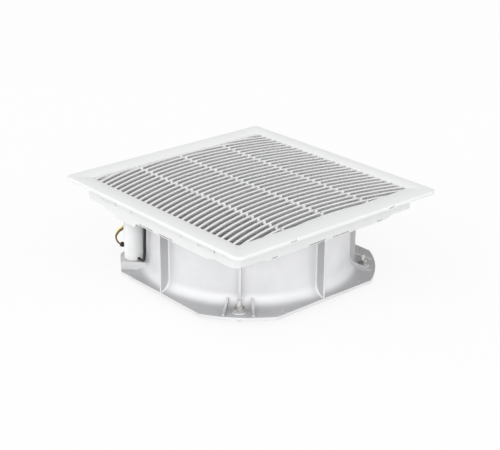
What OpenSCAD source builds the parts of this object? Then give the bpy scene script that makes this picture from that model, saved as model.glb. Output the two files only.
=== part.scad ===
// Filter fan for a cabinet wall: a compact axial fan under a plastic frame
// with a filter mat and a hinged grille of curved slats. Millimetres, +Z out
// of the cabinet, origin at the bottom centre. Heights are given from the
// underside of the fan's lower flange, which raised() lifts off the floor.

/* [Cover grille] */
// How far the cover reaches past the collar along the chords of its slats
cover_out_x = 15.5; // [13.5:0.5:22]
// How far the cover reaches past the collar across its slats
cover_out_y = 23.5; // [20.5:0.5:30]
// Radius of the cover's corners
cover_r = 8; // [6:0.5:14]
// Thickness of the cover's face
cover_t = 2.3; // [1.8:0.1:3]
// Height of the rim that the face turns down to
rim_h = 4.2; // [3.8:0.1:5.5]
// Thickness of the rim
rim_t = 2.5; // [2:0.1:3]
// Gap between the curtain wall and the collar at the ends of the slats
window_gap = 3.6; // [2.8:0.1:12]
// Thickness of the curtain wall round the window
curtain_t = 1.2; // [0.8:0.1:1.4]
// Distance from one slat to the next
slat_pitch = 10.11; // [9:0.01:12]
// Width of a slat's face
slat_face = 3.8; // [3:0.1:5]
// Width of a slat's lower edge
slat_foot = 2; // [1.2:0.1:3]
// Depth of a slat
slat_depth = 10; // [6:0.5:10]
// How far a slat's lower edge leans away from its face
slat_lean = 7; // [3:0.5:9]
// Radius of the arc that a slat follows
slat_r = 320; // [260:5:420]
// Width of the bars that cross the slats
bar_w = 3; // [2:0.2:5]
// How far the bars lie below the slats' faces
bar_drop = 1.9; // [1:0.1:3]

/* [Base frame] */
// Width of the collar that goes through the panel
collar_w = 285; // [285:0.5:289]
// Radius of the collar's corners
collar_r = 10; // [6:0.5:12]
// Thickness of the collar's wall
wall_t = 2.5; // [2:0.1:3]
// Height of the frame from the underside of its floor to that of its lip
collar_h = 20.3; // [20:0.1:30]
// Thickness of the lip round the collar
lip_t = 1.7; // [1.2:0.1:1.8]
// Thickness of the floor that carries the filter mat
floor_t = 2.5; // [2:0.1:3.2]
// How far the skirt hangs below the floor along each side
skirt_drop = 4.5; // [3.5:0.1:6]
// Thickness of the filter mat
mat_t = 11; // [6:0.5:11]
// Thickness of the gasket under the lip
gasket_t = 3; // [2:0.1:3.2]
// Width of the gasket
gasket_w = 6; // [4:0.5:6.5]
// Distance from one ring of the inlet grid to the next
grid_pitch = 13; // [11:0.5:20]

/* [Fan housing] */
// Gap between the housing's square flanges and the skirt
flange_gap = 0.5; // [0.5:0.5:2.5]
// Radius of the arcs that cut the flanges' corners
flange_r = 159; // [158:0.5:160]
// Thickness of the flanges
flange_t = 4; // [3:0.1:5]
// Height of the housing
fan_h = 84; // [80:1:110]
// How far the flanges reach past the duct at the middle of a side
flange_out = 13; // [12:0.5:14]
// Thickness of the duct's wall
duct_t = 4; // [3:0.1:4.5]
// Radius of the flare from the duct to the lower flange
flare_r = 16; // [12:1:20]
// Distance between opposite corner bolts, along X and along Y
bolt_span = 202; // [198:1:206]
// Diameter of the corner bolts
bolt_d = 6; // [5:0.5:7]
// Place of the small flange holes along the side
small_hole_along = 61.5; // [50:0.5:64]
// Distance of the small flange holes from the flanges' edges
small_hole_in = 5.5; // [4.5:0.1:6]
// Diameter of the small flange holes
small_hole_d = 3.6; // [3:0.1:4]

/* [Impeller and motor] */
// Number of blades
blades = 5; // [3:1:7]
// Gap between the tips of the blades and the duct
tip_gap = 3.5; // [3:0.5:10]
// Outer radius of the motor's turning can
can_r = 45; // [43:0.5:50]
// Height of the motor's turning can
can_h = 48; // [46:1:52]
// Radius of the motor shaft
shaft_r = 4; // [3.5:0.1:4.5]
// Outer radius of the ball bearings
bearing_r = 11; // [10:0.5:12]
// Width of the ball bearings
bearing_w = 7; // [6:0.5:8]

/* [Finger guard] */
// Diameter of the guard's spokes
spoke_d = 2.2; // [1.8:0.1:2.8]
// Diameter of the guard's rings
ring_d = 2; // [1.6:0.1:2.5]
// Distance from one ring to the next
ring_pitch = 12; // [11:0.5:14]

/* [Capacitor] */
// Diameter of the capacitor
cap_d = 23; // [18:0.5:23.5]
// Height of the capacitor
cap_h = 51; // [40:1:55]
// Height of the cast pad under the capacitor
pad_h = 10; // [8:0.5:12]

/* [Hidden] */
$fn = 96;
over = 0.5;             // overrun of every cut
play = 0.3;             // free gap between pieces that pass each other
fit = 0.05;             // running clearance on a radius

// Shared places
skirt_share = 0.8;
skirt_t = skirt_share * wall_t;
flange_w = collar_w - 2 * (skirt_t + flange_gap);
duct_r = flange_w / 2 - flange_out;
bore_r = duct_r - duct_t;
tip_r = bore_r - tip_gap;
bolt_at = bolt_span / 2;
bolt_head_h = 4;
eye_t = spoke_d + play;                  // thickness of the guard's eyes
stand_h = eye_t + bolt_head_h;           // from the ground to the lower flange
floor_z = fan_h;                         // underside of the frame's floor
mat_z = floor_z + floor_t;
lip_z = floor_z + collar_h;              // underside of the lip
lip_top = lip_z + lip_t;
cover_gap = 0.2;
cover_z = lip_top + cover_gap;           // underside of the cover's face
cover_top = cover_z + cover_t;
rim_z = cover_top - rim_h;
pocket_w = collar_w - 2 * wall_t;
cover_x = collar_w + 2 * cover_out_x;
cover_y = collar_w + 2 * cover_out_y;
pocket_r = collar_r / 2;
curtain_r = 3;                           // outer corner radius of the curtain wall
window_x = pocket_w - 2 * (curtain_t + window_gap);
window_y = pocket_w - 2 * (curtain_t + play);
lip_x = cover_x - 2 * (rim_t + play);
lip_y = cover_y - 2 * (rim_t + play);
lip_r = cover_r - rim_t - play;

// Outline with round corners
module rounded(x, y, r) {
    square([x - 2 * r, y], center = true);
    square([x, y - 2 * r], center = true);
    for (sx = [-1, 1], sy = [-1, 1]) translate([sx * (x / 2 - r), sy * (y / 2 - r)]) circle(r);
}

// Band of width t inside that outline
module rounded_band(x, y, r, t) difference() {
    rounded(x, y, r);
    rounded(x - 2 * t, y - 2 * t, r - t);
}

module raised() translate([0, 0, stand_h]) children();
module lifted(z) translate([0, 0, z]) children();
module at_bolts() for (a = [0:90:270]) rotate(a) translate([bolt_at, bolt_at, 0]) children();
module on_sides() for (a = [0:90:270]) rotate(a) children();
module tube(r_out, r_in, h) difference() {
    cylinder(r = r_out, h = h);
    lifted(-over) cylinder(r = r_in, h = h + 2 * over);
}
module hexagon(across, h) cylinder(d = across / cos(30), h = h, $fn = 6);

// Cover grille
slat_sag = slat_r - sqrt(slat_r * slat_r - window_x * window_x / 4);
slat_count = ceil((window_y + slat_sag - slat_face / 2) / slat_pitch - 0.5);
slat_sweep = 2 * asin((window_x / 2 + curtain_t) / (slat_r - slat_face));
hinge_x = 100;
hinge_inset = 2.7;
knuckle_r = 2.2;
knuckle_w = 16;
knuckle_gap = 0.4;
lug_w = 6;
pin_r = 1;
hinge_y = cover_y / 2 - hinge_inset;
hinge_z = cover_z - knuckle_r - knuckle_gap;
hinge_w = knuckle_w + 2 * knuckle_gap + 2 * lug_w;
latch_x = 78;
slot_l = 8;
slot_h = 1.2;
hook_w = 1;
slot_hook = 1.9;
catch_out = 0.6;
catch_w = 5;
catch_x = latch_x - slot_l / 2 - catch_w / 2 - 2 * play;

// Slats on arcs, cut to the window and let into the curtain wall
module grille_slats() intersection() {
    lifted(cover_top - slat_depth) linear_extrude(slat_depth)
        rounded(window_x + curtain_t, window_y + curtain_t, curtain_r - curtain_t / 2);
    for (k = [0:slat_count - 1])
        translate([0, window_y / 2 - (k + 0.5) * slat_pitch + slat_sag - slat_r, cover_top])
            rotate(90 - slat_sweep / 2)
                rotate_extrude(angle = slat_sweep, $fn = 240) polygon([
                    [slat_r - slat_face / 2, 0], [slat_r + slat_face / 2, 0],
                    [slat_r + slat_lean + slat_foot / 2, -slat_depth],
                    [slat_r + slat_lean - slat_foot / 2, -slat_depth]]);
}

module grille_bars() for (x = [-1, 0, 1]) translate([x * window_x / 4 - bar_w / 2,
    -(window_y + curtain_t) / 2, cover_top - slat_depth])
        cube([bar_w, window_y + curtain_t, slat_depth - bar_drop]);

module at_hinges() for (s = [-1, 1]) translate([s * hinge_x, hinge_y, hinge_z]) children();
module along_x(r, l) rotate([0, 90, 0]) cylinder(r = r, h = l, center = true);

// Face, rim and curtain wall
module cover_shell() {
    lifted(cover_z) linear_extrude(cover_t) difference() {
        rounded(cover_x, cover_y, cover_r);
        rounded(window_x, window_y, curtain_r - curtain_t);
    }
    lifted(rim_z) linear_extrude(rim_h) rounded_band(cover_x, cover_y, cover_r, rim_t);
    lifted(cover_top - slat_depth) linear_extrude(slat_depth - cover_t / 2)
        rounded_band(window_x + 2 * curtain_t, window_y + 2 * curtain_t, curtain_r, curtain_t);
    for (s = [-1, 1]) translate([s * catch_x - catch_w / 2, -cover_y / 2 + rim_t / 2, rim_z])
        cube([catch_w, rim_t / 2 + catch_out, rim_h - cover_t / 2]);
}

module cover_grille() color("white") raised() difference() {
    union() {
        difference() {
            cover_shell();
            at_hinges() translate([-hinge_w / 2 - play, -knuckle_r - play, -knuckle_r])
                cube([hinge_w + 2 * play, 2 * rim_t + knuckle_r, 2 * knuckle_r + knuckle_gap]);
        }
        grille_slats();
        grille_bars();
        at_hinges() {
            along_x(knuckle_r, knuckle_w);
            translate([-knuckle_w / 2, -knuckle_r, 0])
                cube([knuckle_w, 2 * knuckle_r, knuckle_r + knuckle_gap + cover_t / 2]);
        }
    }
    at_hinges() along_x(pin_r + fit, knuckle_w + 2 * over);
    for (s = [-1, 1]) translate([s * latch_x, -cover_y / 2 + rim_t + over, cover_z - slot_h / 2])
        rotate([90, 0, 0]) linear_extrude(rim_t + 2 * over) {
            square([slot_l - slot_h, slot_h], center = true);
            for (e = [-1, 1]) translate([e * (slot_l - slot_h) / 2, 0]) circle(d = slot_h);
            translate([slot_l / 2 - hook_w, 0]) square([hook_w, slot_hook]);
        }
}

module cover_hinge_pins() color("silver") raised() at_hinges() along_x(pin_r, hinge_w);

// Cover latches: tongues in the plane of the lip that bend on their root
latch_l = 14;
latch_end = 7;
latch_w = 3;
latch_travel = 1.6;
latch_y = -lip_y / 2 + latch_w / 2;

module latch_outline() difference() {
    union() {
        circle(d = latch_w);
        translate([0, -latch_w / 2]) square([latch_l + latch_end, latch_w]);
    }
    translate([catch_x - latch_x + latch_l - catch_w / 2 - play, -latch_w / 2 - over])
        square([catch_w + 2 * play, over + catch_out]);
}
module latch_pocket() {
    circle(r = latch_w / 2 + fit);
    translate([0, -latch_w / 2 - over])
        square([latch_l + latch_end + play, latch_w + over + latch_travel + play]);
}

module cover_latch(s) color("white") raised() mirror([s < 0 ? 1 : 0, 0, 0])
    translate([latch_x - latch_l, latch_y, lip_z]) linear_extrude(lip_t) latch_outline();

// Panel clips: wedged tongues in the collar's wall that bend on their root
clip_at = 93.3;
clip_w = 28;
clip_l = 13.8;
clip_gap = 1.7;
slit_w = 1;
relief_at = 47;
panel_t = 2;
hook_out = 4.3;
hook_rise = 1;
clip_r = wall_t / 2;
clip_x = collar_w / 2 - clip_r;
clip_z = lip_z - clip_l;

module clip_outline() {
    circle(r = clip_r);
    polygon([[-clip_r, 0], [clip_r, 0], [clip_r, hook_rise],
        [clip_r + hook_out, clip_l - gasket_t - panel_t - 2 * play],
        [clip_r + hook_out, clip_l - gasket_t - panel_t - play],
        [clip_r, clip_l - gasket_t - panel_t - play],
        [clip_r, clip_l - clip_gap], [-clip_r, clip_l - clip_gap]]);
}

module panel_clip(sx, sy) color("white") raised() mirror([sx < 0 ? 1 : 0, 0, 0])
    translate([clip_x, sy * clip_at, clip_z]) rotate([90, 0, 0])
        linear_extrude(clip_w, center = true) clip_outline();

// Base frame
skirt_half = 95;
skirt_step = 10;
corner_drop = 1;
long_slot_from = 6;
long_slot_l = 26;
skirt_slot_h = 1.6;
short_slot_at = 84;
short_slot_l = 8;
tab_at = 60.5;
tab_w = 42;
tab_drop = 5;
grid_t = 1.8;
grid_bars = 8;
screw_d = 5;
screw_head_d = 9.2;
screw_head_h = 2.2;

module skirt() {
    translate([0, -collar_w / 2 + skirt_t, floor_z + floor_t / 2]) rotate([90, 0, 0])
        linear_extrude(skirt_t) polygon([
            [-skirt_half - skirt_step, 0], [-skirt_half - skirt_step, -floor_t / 2 - corner_drop],
            [-skirt_half, -floor_t / 2 - skirt_drop], [skirt_half, -floor_t / 2 - skirt_drop],
            [skirt_half + skirt_step, -floor_t / 2 - corner_drop], [skirt_half + skirt_step, 0]]);
}

module skirt_slots() for (s = [-1, 1])
    translate([s * (long_slot_from + long_slot_l / 2), -collar_w / 2, floor_z - skirt_drop + skirt_slot_h])
        cube([long_slot_l, 2 * (skirt_t + over), skirt_slot_h], center = true);

module inlet_grid() {
    lifted(floor_z) linear_extrude(floor_t) {
        circle(grid_pitch);
        for (r = [2 * grid_pitch:grid_pitch:bore_r - grid_t]) difference() {
            circle(r);
            circle(r - grid_t);
        }
        for (k = [0:grid_bars - 1]) rotate(k * 360 / grid_bars)
            translate([0, -grid_t / 2]) square([bore_r + over, grid_t]);
    }
}

module frame_body() {
    lifted(lip_z) linear_extrude(lip_t) difference() {
        rounded(lip_x, lip_y, lip_r);
        rounded(pocket_w, pocket_w, pocket_r);
    }
    lifted(floor_z) linear_extrude(collar_h + lip_t / 2) difference() {
        rounded(collar_w, collar_w, collar_r);
        rounded(pocket_w, pocket_w, pocket_r);
    }
    lifted(floor_z - corner_drop) linear_extrude(corner_drop + floor_t / 2)
        rounded_band(collar_w, collar_w, collar_r, skirt_t);
    lifted(floor_z) linear_extrude(floor_t) difference() {
        rounded(collar_w - wall_t, collar_w - wall_t, collar_r);
        circle(bore_r);
    }
    on_sides() skirt();
    translate([-collar_w / 2, tab_at, floor_z - skirt_drop]) rotate([90, 0, 90])
        linear_extrude(skirt_t) rounded(tab_w, 2 * tab_drop, tab_drop - play);
    inlet_grid();
}

// Lugs at one hinge that hold the pin's ends
module hinge_lugs() for (s = [-1, 1]) translate([s * (hinge_w - lug_w) / 2, 0, 0]) {
    along_x(knuckle_r, lug_w);
    translate([-lug_w / 2, -2 * knuckle_r, -knuckle_r]) cube([lug_w, 2 * knuckle_r, 2 * knuckle_r]);
}

module frame_screw_hole() {
    lifted(-over) cylinder(d = screw_d + 2 * play, h = floor_t + 2 * over);
    lifted(floor_t - screw_head_h - fit)
        cylinder(d1 = screw_d + 2 * play, d2 = screw_head_d + 2 * play, h = screw_head_h + 2 * fit);
}

module base_frame() color("white") raised() difference() {
    union() {
        difference() {
            frame_body();
            at_hinges() cube([knuckle_w + 2 * knuckle_gap, 2 * knuckle_r + 2 * play, 4 * knuckle_r],
                center = true);
        }
        at_hinges() hinge_lugs();
    }
    at_hinges() along_x(pin_r, hinge_w + 2 * over);
    for (s = [0, 1]) mirror([s, 0, 0]) {
        translate([latch_x - latch_l, latch_y, lip_z - over])
            linear_extrude(lip_t + 2 * over) latch_pocket();
        for (y = [-clip_at, clip_at]) translate([clip_x, y, clip_z]) rotate([90, 0, 0])
            linear_extrude(clip_w + 2 * slit_w, center = true) {
                circle(r = clip_r + fit);
                translate([-clip_r - over, 0]) square([wall_t + 2 * over, clip_l]);
            }
        for (y = [-relief_at, relief_at]) translate([clip_x, y, clip_z + clip_l / 2])
            cube([wall_t + 2 * over, slit_w, clip_l], center = true);
    }
    on_sides() skirt_slots();
    for (s = [-1, 1], t = [-1, 1])
        translate([s * short_slot_at, t * collar_w / 2, floor_z - skirt_drop + skirt_slot_h])
            cube([short_slot_l, 2 * (skirt_t + over), skirt_slot_h], center = true);
    lifted(floor_z) at_bolts() frame_screw_hole();
}

module panel_gasket() color("dimgray") raised() lifted(lip_z - gasket_t) linear_extrude(gasket_t)
    rounded_band(collar_w + 2 * play + 2 * gasket_w, collar_w + 2 * play + 2 * gasket_w,
        collar_r + gasket_w, gasket_w);

mat_play = 1.8;
module filter_mat() color("ghostwhite") raised() lifted(mat_z) linear_extrude(mat_t)
    rounded(pocket_w - 2 * mat_play, pocket_w - 2 * mat_play, collar_r);

// Screws and nuts that hold the frame on the housing's upper flange
top_flange_t = 2.2;
nut_d = 8;
nut_h = 4;
module frame_screws() color("silver") raised() lifted(mat_z) at_bolts() {
    lifted(-screw_head_h) cylinder(d1 = screw_d, d2 = screw_head_d, h = screw_head_h);
    lifted(-floor_t - top_flange_t - nut_h - screw_d / 2)
        cylinder(d = screw_d, h = floor_t + top_flange_t + nut_h + screw_d / 2 - screw_head_h / 2);
}
module frame_nuts() color("silver") raised() lifted(floor_z - top_flange_t - nut_h) at_bolts()
    difference() {
        hexagon(nut_d, nut_h);
        lifted(-over) cylinder(d = screw_d, h = nut_h + 2 * over);
    }

// Fan housing
web_at = -3;
web_t = 2.6;
web_in = 0.4;
corner_rib_t = 3;
corner_rib_out = 6;
gusset_t = 3;
gusset_turn = 6.4;
gusset_h = 11.5;
gusset_in = 3;
gusset_end = flange_r - gusset_in;
boss_r = 9;
boss_h = 1.5;
mouth_out = 7;
mouth_r = duct_r + mouth_out;
hub_r = 44;
hub_t = 5;
hub_bore_r = 12;
strut_w = 9;
strut_h = 8;
motor_screw_at = 32;
motor_screw_d = 4;
pad_from = 12;
pad_to = 38;
pad_in = 7;
pad_u = duct_r - pad_in;
pad_top = flange_t + pad_h;
cable_d = 4.6;
cable_hole_d = 6;

module flange_outline() intersection() {
    square(flange_w, center = true);
    circle(flange_r);
}

// Duct wall with its flare
module duct_form() intersection() {
    rotate_extrude() {
        square([duct_r, fan_h]);
        difference() {
            square([duct_r + flare_r, flange_t + flare_r]);
            translate([duct_r + flare_r, flange_t + flare_r]) circle(flare_r);
        }
    }
    linear_extrude(fan_h) flange_outline();
}

module bore_form() rotate_extrude() {
    translate([0, -over]) square([bore_r, fan_h + 2 * over]);
    difference() {
        translate([0, -over]) square([mouth_r, flange_t + flare_r + over]);
        translate([duct_r + flare_r, flange_t + flare_r]) circle(flare_r + duct_t);
    }
}

// Flat webs near the middle of each side, from the duct out to the flanges' edges
module side_webs() for (a = [0, 180], m = [0, 1]) rotate(a) mirror([m, -m, 0])
    translate([web_at - web_t / 2, web_in - flange_w / 2, flange_t / 2])
        cube([web_t, flange_w / 2 - web_in - duct_r + duct_t / 2, fan_h - (flange_t + top_flange_t) / 2]);

// Rib, boss and gussets of one corner, laid out along +X
module corner_web(turns) {
    translate([duct_r - duct_t / 2, -corner_rib_t / 2, 0])
        cube([corner_rib_out + duct_t / 2, corner_rib_t, fan_h]);
    for (turn = turns) rotate(turn) translate([0, gusset_t / 2, flange_t])
        rotate([90, 0, 0]) linear_extrude(gusset_t) polygon([
            [duct_r - duct_t / 2, -over], [gusset_end, -over], [gusset_end, boss_h],
            [duct_r - duct_t / 2, gusset_h]]);
}

module struts() intersection() {
    for (a = [45:90:315]) rotate(a) translate([hub_r - can_t + play, -strut_w / 2, 0])
        cube([mouth_r + can_t - hub_r, strut_w, strut_h]);
    duct_form();
}

// Pad under the capacitor, beside the corner at -X and +Y
module capacitor_pad() intersection() {
    rotate(135) translate([pad_u, pad_from, flange_t - over])
        cube([flange_r - pad_u, pad_to - pad_from, pad_h + over]);
    cylinder(r = flange_r, h = fan_h);
}

module fan_housing() color("gainsboro") raised() difference() {
    union() {
        difference() {
            union() {
                duct_form();
                linear_extrude(flange_t) flange_outline();
                lifted(fan_h - top_flange_t) linear_extrude(top_flange_t) flange_outline();
                side_webs();
                for (a = [45, 225, 315]) rotate(a) corner_web([-gusset_turn, gusset_turn]);
                rotate(135) corner_web([-gusset_turn]);
                lifted(flange_t - over) at_bolts() cylinder(r = boss_r, h = boss_h + over);
                capacitor_pad();
            }
            bore_form();
        }
        cylinder(r = hub_r, h = hub_t);
        struts();
    }
    lifted(-over) {
        cylinder(r = hub_bore_r, h = hub_t + 2 * over);
        at_bolts() cylinder(d = bolt_d + 2 * play, h = fan_h + 2 * over);
        for (a = [0:90:270]) rotate(a) translate([motor_screw_at, 0, 0])
            cylinder(d = motor_screw_d + 2 * play, h = hub_t + 2 * over);
        for (a = [0:90:270], s = [-1, 1]) rotate(a)
            translate([flange_w / 2 - small_hole_in, s * small_hole_along, 0])
                cylinder(d = small_hole_d, h = flange_t + 2 * over);
    }
    lifted(washer_z) at_bolts() cylinder(r = washer_r + play, h = bolt_end);
    cable_exit() cylinder(d = cable_hole_d, h = 2 * (flare_r + duct_t), center = true);
    at_capacitor_bolt() lifted(-over) cylinder(d = cap_bolt_d + 2 * fit, h = pad_top + 2 * over);
    at_capacitor() lifted(pad_top - stud_l) cylinder(r = stud_r + fit, h = stud_l + over);
}

// Where the motor's cable leaves the duct: above a strut, beside the corner rib
cable_turn = 138.4;
cable_z = strut_h + cable_d / 2 + play;
module cable_exit() rotate(cable_turn) translate([duct_r, 0, cable_z]) rotate([0, 90, 0]) children();

// Motor
can_gap = 3;
can_z = 18;
can_t = 2.5;
cage_t = 6;
air_gap = 0.5;
stator_z = 22;
stator_h = 26;
tube_wall = 2.5;
tube_gap = 1;
tube_z = hub_t + tube_gap;
outlet_r = 32;
outlet_w = 8;
base_t = 4;
slots = 12;
slot_w = 7;
yoke_t = 7;
tooth_tip = 2;
ring_t = 1.2;
ring_groove = 0.5;
core_r = can_r - can_t - cage_t - air_gap;
tube_r = bearing_r + tube_wall;
shaft_from = 2;
shaft_to = can_z + can_h;
tube_top = shaft_to - can_t - can_gap - shaft_r - play;

module stator_base() color("darkgray") raised() difference() {
    union() {
        lifted(hub_t) cylinder(r = hub_r - can_t, h = base_t);
        lifted(hub_t) cylinder(r = tube_r, h = tube_top - hub_t);
        rotate(135) translate([0, -outlet_w / 2, hub_t]) cube([outlet_r, outlet_w, base_t + cable_d + 2 * play]);
    }
    lifted(hub_t - over) {
        cylinder(r = bearing_r - tube_wall, h = tube_top + over);
        cylinder(r = bearing_r, h = bearing_w + tube_z - hub_t + over);
        for (a = [0:90:270]) rotate(a) translate([motor_screw_at, 0, 0])
            cylinder(d = motor_screw_d, h = base_t + 2 * over);
    }
    lifted(tube_top - bearing_w) cylinder(r = bearing_r, h = bearing_w + over);
}

module stator_core() color("gray") raised() lifted(stator_z) linear_extrude(stator_h) difference() {
    circle(core_r);
    circle(tube_r);
    for (k = [0:slots - 1]) rotate(k * 360 / slots) {
        translate([tube_r + yoke_t, -slot_w / 2]) square([core_r - tube_r - yoke_t - tooth_tip, slot_w]);
        translate([tube_r + yoke_t, -tooth_tip / 2]) square([core_r, tooth_tip]);
    }
}

// Copper end turns, one ring on each face of the core
winding_h = 7;
module stator_windings() color("peru") raised() for (z = [stator_z - winding_h, stator_z + stator_h])
    lifted(z) tube(core_r - tooth_tip, tube_r + yoke_t / 2, winding_h);

module ball_bearing(z) color("silver") raised() lifted(z) tube(bearing_r, shaft_r + fit, bearing_w);
module bearing_lower() ball_bearing(tube_z);
module bearing_upper() ball_bearing(tube_top - bearing_w);

module rotor_shaft() color("silver") raised() lifted(shaft_from) difference() {
    cylinder(r = shaft_r, h = shaft_to - shaft_from);
    lifted(tube_z - shaft_from - play - ring_t) tube(shaft_r + over, shaft_r - ring_groove, ring_t);
}

module shaft_ring() color("black") raised() lifted(tube_z - play - ring_t)
    tube(shaft_r + 2 * ring_t, shaft_r - ring_groove, ring_t);

// Cup of the external rotor with the boss that grips the shaft
module rotor_can() color("dimgray") raised() lifted(can_z) difference() {
    union() {
        difference() {
            cylinder(r = can_r, h = can_h);
            lifted(-over) cylinder(r = can_r - can_t, h = can_h - can_t + over);
        }
        lifted(can_h - can_t - can_gap - shaft_r) cylinder(r = 2 * shaft_r, h = can_gap + shaft_r + can_t / 2);
    }
    lifted(-over) cylinder(r = shaft_r, h = can_h + 2 * over);
}

module rotor_cage() color("silver") raised() lifted(stator_z)
    tube(can_r - can_t, core_r + air_gap, stator_h);

// Impeller: a ring pressed on the can and sickle blades from lofted sections
hoop_t = 1.6;
hoop_z = 22;
hoop_h = 38;
blade_steps = 7;
blade_points = 6;
blade_root_t = 3;
blade_tip_t = 1.8;
root_chord = 58;
tip_chord = 78;
root_angle = 40;
tip_angle = 24;
sweep_angle = 20;
blade_camber = 5;
blade_mid_z = hoop_z + hoop_h / 2;
function mix(a, b, t) = a + (b - a) * t;
// Point of a blade: t runs from root to tip, s along the chord, side is -1 or 1
function blade_point(t, s, side) =
    let (r = mix(can_r + hoop_t / 2, tip_r, t),
        chord = mix(root_chord, tip_chord, t),
        pitch = mix(root_angle, tip_angle, t),
        across = side * mix(blade_root_t, blade_tip_t, t) / 2 * sqrt(1 - s * s)
            + blade_camber * (1 - s * s),
        run = s * chord / 2 * cos(pitch) - across * sin(pitch),
        turn = run / r * 180 / PI + sweep_angle * t * t,
        z = s * chord / 2 * sin(pitch) + across * cos(pitch))
    [r * cos(turn), r * sin(turn), blade_mid_z + z];
function blade_ring(t) = concat(
    [for (k = [0:blade_points]) blade_point(t, -cos(k * 180 / blade_points), 1)],
    [for (k = [blade_points - 1:-1:1]) blade_point(t, -cos(k * 180 / blade_points), -1)]);

module blade() {
    n = 2 * blade_points;
    points = [for (i = [0:blade_steps]) each blade_ring(i / blade_steps)];
    polyhedron(points, concat(
        [for (i = [0:blade_steps - 1], j = [0:n - 1]) each [
            [i * n + j, i * n + (j + 1) % n, (i + 1) * n + (j + 1) % n],
            [i * n + j, (i + 1) * n + (j + 1) % n, (i + 1) * n + j]]],
        [[for (j = [n - 1:-1:0]) j]],
        [[for (j = [0:n - 1]) blade_steps * n + j]]));
}

module impeller() color("dimgray") raised() difference() {
    union() {
        lifted(hoop_z) cylinder(r = can_r + hoop_t, h = hoop_h);
        for (k = [0:blades - 1]) rotate(k * 360 / blades) blade();
    }
    lifted(can_z - over) cylinder(r = can_r + fit, h = can_h + 2 * over);
}

screw_head_t = 2.4;
module motor_screws() color("silver") raised() for (a = [0:90:270]) rotate(a)
    translate([motor_screw_at, 0, 0]) {
        cylinder(d = motor_screw_d, h = hub_t + base_t);
        lifted(-screw_head_t) cylinder(d = 2 * motor_screw_d - play, h = screw_head_t);
    }

// Finger guard of welded wire under the lower flange, with pressed eyes for its bolts
guard_hub_r = 26;
guard_axis = -eye_t / 2;
weld = 0.5;
ring_sides = 8;
eye_r = bolt_d / 2 + play;
eye_w = 2.5;
module finger_guard() color("silver") raised() {
    for (r = [guard_hub_r:ring_pitch:bore_r])
        lifted(guard_axis - (spoke_d + ring_d) / 2 + weld) rotate_extrude() translate([r, 0])
            rotate(180 / ring_sides) circle(d = ring_d / cos(180 / ring_sides), $fn = ring_sides);
    for (a = [45:90:315]) rotate(a) translate([guard_hub_r - weld, 0, guard_axis]) rotate([0, 90, 0])
        cylinder(d = spoke_d, h = bolt_at * sqrt(2) - guard_hub_r - eye_r);
    lifted(-eye_t) at_bolts() tube(eye_r + eye_w, eye_r, eye_t);
}

bolt_across = 10;
bolt_end = 18;
washer_t = 1.2;
washer_r = 7;
nut_t = 5;
washer_z = flange_t + boss_h;
module guard_bolts() color("silver") raised() at_bolts() {
    lifted(-stand_h) hexagon(bolt_across, bolt_head_h);
    lifted(-eye_t) cylinder(d = bolt_d, h = eye_t + bolt_end);
}
module guard_washers() color("silver") raised() lifted(washer_z) at_bolts()
    tube(washer_r, bolt_d / 2 + play, washer_t);
module guard_nuts() color("silver") raised() lifted(washer_z + washer_t) at_bolts() difference() {
    hexagon(bolt_across, nut_t);
    lifted(-over) cylinder(d = bolt_d, h = nut_t + 2 * over);
}

// Capacitor on its foot plate
cap_v = 26.4;
cap_gap = 3.9;
cap_u = sqrt(pow(duct_r + cap_gap + cap_d / 2, 2) - cap_v * cap_v);
foot_t = 1;
foot_r = 9;
foot_edge = 0.5;
stud_r = 4;
stud_l = 9;
cap_bolt_d = 3;
cap_bolt_in = 5.5;
cap_bolt_u = flange_r - cap_bolt_in;
cap_bolt_v = 20;
cap_nut = 5.5;
cap_nut_h = 2.4;
cap_edge = 1.5;
lid_h = 2;
module at_capacitor() rotate(135) translate([cap_u, cap_v, 0]) children();
module at_capacitor_bolt() rotate(135) translate([cap_bolt_u, cap_bolt_v, 0]) children();

module capacitor_body() color("white") raised() at_capacitor() lifted(pad_top + foot_t)
    rotate_extrude() difference() {
        union() {
            square([cap_d / 2 - cap_edge, cap_h]);
            translate([0, cap_edge]) square([cap_d / 2, cap_h - 2 * cap_edge]);
            for (z = [cap_edge, cap_h - cap_edge]) translate([cap_d / 2 - cap_edge, z]) circle(cap_edge);
        }
        translate([0, cap_h - lid_h]) square([cap_d / 2 - cap_edge, lid_h + over]);
    }
module capacitor_cap() color("lightgray") raised() at_capacitor()
    lifted(pad_top + foot_t + cap_h - lid_h) cylinder(r = cap_d / 2 - cap_edge, h = lid_h);

module capacitor_foot() color("silver") raised() {
    lifted(pad_top) linear_extrude(foot_t) rotate(135) difference() {
        union() {
            translate([cap_u, cap_v]) circle(foot_r);
            translate([cap_bolt_u, cap_bolt_v]) circle(cap_nut / 2 + foot_edge);
            translate([cap_u, cap_v]) rotate(atan2(cap_bolt_v - cap_v, cap_bolt_u - cap_u))
                translate([0, -cap_nut / 2 - foot_edge])
                    square([norm([cap_bolt_u - cap_u, cap_bolt_v - cap_v]), cap_nut + 2 * foot_edge]);
        }
        translate([cap_bolt_u, cap_bolt_v]) circle(d = cap_bolt_d + 2 * fit);
    }
    at_capacitor() lifted(pad_top - stud_l) cylinder(r = stud_r, h = stud_l + foot_t / 2);
}
module capacitor_bolt() color("silver") raised() at_capacitor_bolt() {
    cylinder(d = cap_bolt_d, h = pad_top + foot_t + cap_nut_h + cap_bolt_d / 2);
    lifted(-cap_nut_h) hexagon(cap_nut, cap_nut_h);
}
module capacitor_nut() color("silver") raised() at_capacitor_bolt() lifted(pad_top + foot_t) difference() {
    hexagon(cap_nut, cap_nut_h);
    lifted(-over) cylinder(d = cap_bolt_d, h = cap_nut_h + 2 * over);
}

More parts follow.
